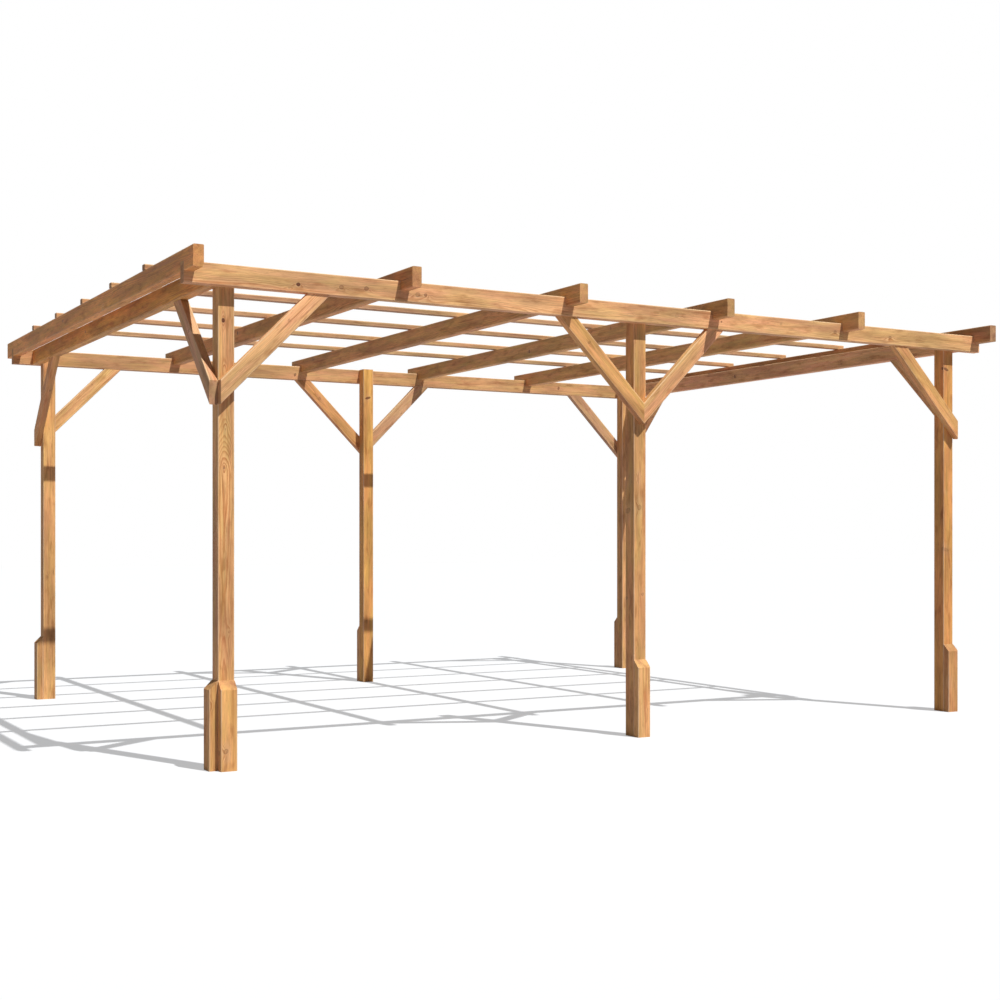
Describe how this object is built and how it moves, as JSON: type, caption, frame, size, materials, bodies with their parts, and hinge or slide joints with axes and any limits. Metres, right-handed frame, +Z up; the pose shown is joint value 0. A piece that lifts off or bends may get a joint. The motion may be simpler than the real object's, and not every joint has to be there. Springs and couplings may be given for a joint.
{
  "type": "wooden pergola",
  "caption": "Free-standing open timber pergola: square posts with foot cheeks, beams on knee braces, notched rafters and thin roof battens.",
  "frame": {"origin": "centre of the footprint, on the ground", "axes": "+X along the wide front, left to right; +Y from the front to the back; +Z up"},
  "size_m": [4.6, 3.56, 2.177],
  "materials": {
    "post_timber": "planed softwood with a honey-brown stain, matt",
    "beam_timber": "planed softwood with a honey-brown stain, matt",
    "rafter_timber": "planed softwood with a honey-brown stain, matt",
    "batten_timber": "planed softwood with a honey-brown stain, matt",
    "brace_timber": "planed softwood with a honey-brown stain, matt",
    "cheek_timber": "planed softwood with a honey-brown stain, matt",
    "screw_steel": "yellow passivated zinc on the heads of the roof screws"
  },
  "bodies": {
    "root": {"back_beam": "beam_timber", "back_left_corner_brace": "brace_timber", "back_left_post": "post_timber", "back_left_post_back_cheek": "cheek_timber", "back_left_post_side_cheek": "cheek_timber", "back_middle_left_brace": "brace_timber", "back_middle_post": "post_timber", "back_middle_post_back_cheek": "cheek_timber", "back_middle_right_brace": "brace_timber", "back_right_corner_brace": "brace_timber", "back_right_post": "post_timber", "back_right_post_back_cheek": "cheek_timber", "back_right_post_side_cheek": "cheek_timber", "batten_1": "batten_timber", "batten_2": "batten_timber", "batten_3": "batten_timber", "batten_4": "batten_timber", "batten_5": "batten_timber", "front_beam": "beam_timber", "front_left_corner_brace": "brace_timber", "front_left_post": "post_timber", "front_left_post_front_cheek": "cheek_timber", "front_left_post_side_cheek": "cheek_timber", "front_middle_left_brace": "brace_timber", "front_middle_post": "post_timber", "front_middle_post_front_cheek": "cheek_timber", "front_middle_right_brace": "brace_timber", "front_right_corner_brace": "brace_timber", "front_right_post": "post_timber", "front_right_post_front_cheek": "cheek_timber", "front_right_post_side_cheek": "cheek_timber", "left_side_back_brace": "brace_timber", "left_side_beam": "beam_timber", "left_side_front_brace": "brace_timber", "rafter_1": "rafter_timber", "rafter_2": "rafter_timber", "rafter_3": "rafter_timber", "rafter_4": "rafter_timber", "rafter_5": "rafter_timber", "rafter_6": "rafter_timber", "right_side_back_brace": "brace_timber", "right_side_beam": "beam_timber", "right_side_front_brace": "brace_timber"}
  },
  "joints": []
}
